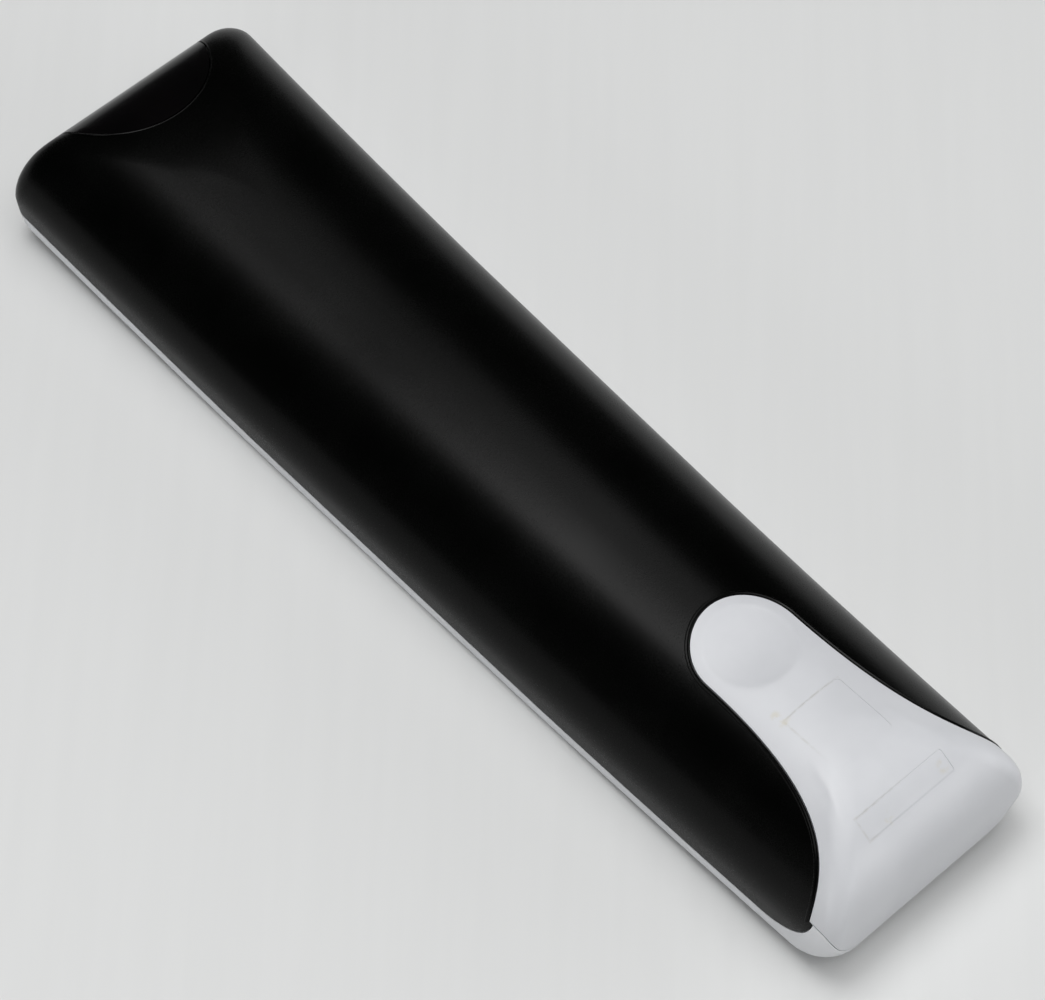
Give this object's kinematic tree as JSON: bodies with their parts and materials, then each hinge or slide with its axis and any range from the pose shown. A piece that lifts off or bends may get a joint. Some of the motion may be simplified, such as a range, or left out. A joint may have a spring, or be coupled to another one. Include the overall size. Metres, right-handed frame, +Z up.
{
  "type": "universal remote control",
  "caption": "Long tapered universal remote control lying face down, with a rounded black back, a pale sliding battery cover with a thumb dimple, an infrared window and a keypad.",
  "frame": {"origin": "on the table under the middle of the remote, which lies face down", "axes": "+Y towards the infrared end, +Z up out of the back, +X across"},
  "size_m": [0.0578, 0.218, 0.0321],
  "materials": {
    "pale_plastic": "satin",
    "black_plastic": "fine grain satin",
    "window_plastic": "gloss",
    "mat_rubber": "matte",
    "board": "solder mask",
    "steel": "plated",
    "lens": "clear red",
    "diode": "clear tinted",
    "chip": "matte",
    "resonator": "dipped",
    "capacitor": "sleeve",
    "cell": "gloss wrap",
    "key_plastic": "satin",
    "power_plastic": "satin"
  },
  "bodies": {
    "casing": {"front_shell": "pale_plastic", "back_shell": "black_plastic", "ir_window": "window_plastic", "key_mat": "mat_rubber", "circuit_board": "board", "board_screws": "steel", "indicator_lens": "lens", "ir_diodes": "diode", "microcontroller": "chip", "resonator": "resonator", "capacitor": "capacitor", "battery_left": "cell", "battery_right": "cell", "contact_positive": "steel", "contact_negative": "steel", "contact_bridge": "steel"},
    "cover": {"battery_cover": "pale_plastic"},
    "key_power": {"key_power": "power_plastic"},
    "key_source": {"key_source": "key_plastic"},
    "key_tv": {"key_tv": "key_plastic"},
    "key_disc": {"key_disc": "key_plastic"},
    "key_box": {"key_box": "key_plastic"},
    "key_audio": {"key_audio": "key_plastic"},
    "key_rewind": {"key_rewind": "key_plastic"},
    "key_play": {"key_play": "key_plastic"},
    "key_forward": {"key_forward": "key_plastic"},
    "key_record": {"key_record": "key_plastic"},
    "key_stop": {"key_stop": "key_plastic"},
    "key_pause": {"key_pause": "key_plastic"},
    "key_menu": {"key_menu": "key_plastic"},
    "key_guide": {"key_guide": "key_plastic"},
    "key_back": {"key_back": "key_plastic"},
    "key_exit": {"key_exit": "key_plastic"},
    "key_ok": {"key_ok": "key_plastic"},
    "key_left": {"key_left": "key_plastic"},
    "key_up": {"key_up": "key_plastic"},
    "key_right": {"key_right": "key_plastic"},
    "key_down": {"key_down": "key_plastic"},
    "key_volume": {"key_volume": "key_plastic"},
    "key_channel": {"key_channel": "key_plastic"},
    "key_mute": {"key_mute": "key_plastic"},
    "key_info": {"key_info": "key_plastic"},
    "key_1": {"key_1": "key_plastic"},
    "key_2": {"key_2": "key_plastic"},
    "key_3": {"key_3": "key_plastic"},
    "key_4": {"key_4": "key_plastic"},
    "key_5": {"key_5": "key_plastic"},
    "key_6": {"key_6": "key_plastic"},
    "key_7": {"key_7": "key_plastic"},
    "key_8": {"key_8": "key_plastic"},
    "key_9": {"key_9": "key_plastic"},
    "key_clear": {"key_clear": "key_plastic"},
    "key_0": {"key_0": "key_plastic"},
    "key_enter": {"key_enter": "key_plastic"}
  },
  "joints": [
    {"name": "cover_slide", "type": "slide", "parent": "casing", "child": "cover", "axis": [0, -1, 0], "range_m": [0, 0.07]},
    {"name": "key_power_press", "type": "slide", "parent": "casing", "child": "key_power", "axis": [0, 0, 1], "range_m": [0, 0.0006], "stiffness_N_per_m": 1200},
    {"name": "key_source_press", "type": "slide", "parent": "casing", "child": "key_source", "axis": [0, 0, 1], "range_m": [0, 0.0006], "stiffness_N_per_m": 1200},
    {"name": "key_tv_press", "type": "slide", "parent": "casing", "child": "key_tv", "axis": [0, 0, 1], "range_m": [0, 0.0006], "stiffness_N_per_m": 1200},
    {"name": "key_disc_press", "type": "slide", "parent": "casing", "child": "key_disc", "axis": [0, 0, 1], "range_m": [0, 0.0006], "stiffness_N_per_m": 1200},
    {"name": "key_box_press", "type": "slide", "parent": "casing", "child": "key_box", "axis": [0, 0, 1], "range_m": [0, 0.0006], "stiffness_N_per_m": 1200},
    {"name": "key_audio_press", "type": "slide", "parent": "casing", "child": "key_audio", "axis": [0, 0, 1], "range_m": [0, 0.0006], "stiffness_N_per_m": 1200},
    {"name": "key_rewind_press", "type": "slide", "parent": "casing", "child": "key_rewind", "axis": [0, 0, 1], "range_m": [0, 0.0006], "stiffness_N_per_m": 1200},
    {"name": "key_play_press", "type": "slide", "parent": "casing", "child": "key_play", "axis": [0, 0, 1], "range_m": [0, 0.0006], "stiffness_N_per_m": 1200},
    {"name": "key_forward_press", "type": "slide", "parent": "casing", "child": "key_forward", "axis": [0, 0, 1], "range_m": [0, 0.0006], "stiffness_N_per_m": 1200},
    {"name": "key_record_press", "type": "slide", "parent": "casing", "child": "key_record", "axis": [0, 0, 1], "range_m": [0, 0.0006], "stiffness_N_per_m": 1200},
    {"name": "key_stop_press", "type": "slide", "parent": "casing", "child": "key_stop", "axis": [0, 0, 1], "range_m": [0, 0.0006], "stiffness_N_per_m": 1200},
    {"name": "key_pause_press", "type": "slide", "parent": "casing", "child": "key_pause", "axis": [0, 0, 1], "range_m": [0, 0.0006], "stiffness_N_per_m": 1200},
    {"name": "key_menu_press", "type": "slide", "parent": "casing", "child": "key_menu", "axis": [0, 0, 1], "range_m": [0, 0.0006], "stiffness_N_per_m": 1200},
    {"name": "key_guide_press", "type": "slide", "parent": "casing", "child": "key_guide", "axis": [0, 0, 1], "range_m": [0, 0.0006], "stiffness_N_per_m": 1200},
    {"name": "key_back_press", "type": "slide", "parent": "casing", "child": "key_back", "axis": [0, 0, 1], "range_m": [0, 0.0006], "stiffness_N_per_m": 1200},
    {"name": "key_exit_press", "type": "slide", "parent": "casing", "child": "key_exit", "axis": [0, 0, 1], "range_m": [0, 0.0006], "stiffness_N_per_m": 1200},
    {"name": "key_ok_press", "type": "slide", "parent": "casing", "child": "key_ok", "axis": [0, 0, 1], "range_m": [0, 0.0006], "stiffness_N_per_m": 1200},
    {"name": "key_left_press", "type": "slide", "parent": "casing", "child": "key_left", "axis": [0, 0, 1], "range_m": [0, 0.0006], "stiffness_N_per_m": 1200},
    {"name": "key_up_press", "type": "slide", "parent": "casing", "child": "key_up", "axis": [0, 0, 1], "range_m": [0, 0.0006], "stiffness_N_per_m": 1200},
    {"name": "key_right_press", "type": "slide", "parent": "casing", "child": "key_right", "axis": [0, 0, 1], "range_m": [0, 0.0006], "stiffness_N_per_m": 1200},
    {"name": "key_down_press", "type": "slide", "parent": "casing", "child": "key_down", "axis": [0, 0, 1], "range_m": [0, 0.0006], "stiffness_N_per_m": 1200},
    {"name": "key_volume_tip", "type": "hinge", "parent": "casing", "child": "key_volume", "pos_m": [0.0145, -0.01, 0.0036], "axis": [1, 0, 0], "range_deg": [-3.5, 3.5], "stiffness_Nm_per_rad": 0.08},
    {"name": "key_channel_tip", "type": "hinge", "parent": "casing", "child": "key_channel", "pos_m": [-0.0145, -0.01, 0.0036], "axis": [1, 0, 0], "range_deg": [-3.5, 3.5], "stiffness_Nm_per_rad": 0.08},
    {"name": "key_mute_press", "type": "slide", "parent": "casing", "child": "key_mute", "axis": [0, 0, 1], "range_m": [0, 0.0006], "stiffness_N_per_m": 1200},
    {"name": "key_info_press", "type": "slide", "parent": "casing", "child": "key_info", "axis": [0, 0, 1], "range_m": [0, 0.0006], "stiffness_N_per_m": 1200},
    {"name": "key_1_press", "type": "slide", "parent": "casing", "child": "key_1", "axis": [0, 0, 1], "range_m": [0, 0.0006], "stiffness_N_per_m": 1200},
    {"name": "key_2_press", "type": "slide", "parent": "casing", "child": "key_2", "axis": [0, 0, 1], "range_m": [0, 0.0006], "stiffness_N_per_m": 1200},
    {"name": "key_3_press", "type": "slide", "parent": "casing", "child": "key_3", "axis": [0, 0, 1], "range_m": [0, 0.0006], "stiffness_N_per_m": 1200},
    {"name": "key_4_press", "type": "slide", "parent": "casing", "child": "key_4", "axis": [0, 0, 1], "range_m": [0, 0.0006], "stiffness_N_per_m": 1200},
    {"name": "key_5_press", "type": "slide", "parent": "casing", "child": "key_5", "axis": [0, 0, 1], "range_m": [0, 0.0006], "stiffness_N_per_m": 1200},
    {"name": "key_6_press", "type": "slide", "parent": "casing", "child": "key_6", "axis": [0, 0, 1], "range_m": [0, 0.0006], "stiffness_N_per_m": 1200},
    {"name": "key_7_press", "type": "slide", "parent": "casing", "child": "key_7", "axis": [0, 0, 1], "range_m": [0, 0.0006], "stiffness_N_per_m": 1200},
    {"name": "key_8_press", "type": "slide", "parent": "casing", "child": "key_8", "axis": [0, 0, 1], "range_m": [0, 0.0006], "stiffness_N_per_m": 1200},
    {"name": "key_9_press", "type": "slide", "parent": "casing", "child": "key_9", "axis": [0, 0, 1], "range_m": [0, 0.0006], "stiffness_N_per_m": 1200},
    {"name": "key_clear_press", "type": "slide", "parent": "casing", "child": "key_clear", "axis": [0, 0, 1], "range_m": [0, 0.0006], "stiffness_N_per_m": 1200},
    {"name": "key_0_press", "type": "slide", "parent": "casing", "child": "key_0", "axis": [0, 0, 1], "range_m": [0, 0.0006], "stiffness_N_per_m": 1200},
    {"name": "key_enter_press", "type": "slide", "parent": "casing", "child": "key_enter", "axis": [0, 0, 1], "range_m": [0, 0.0006], "stiffness_N_per_m": 1200}
  ]
}
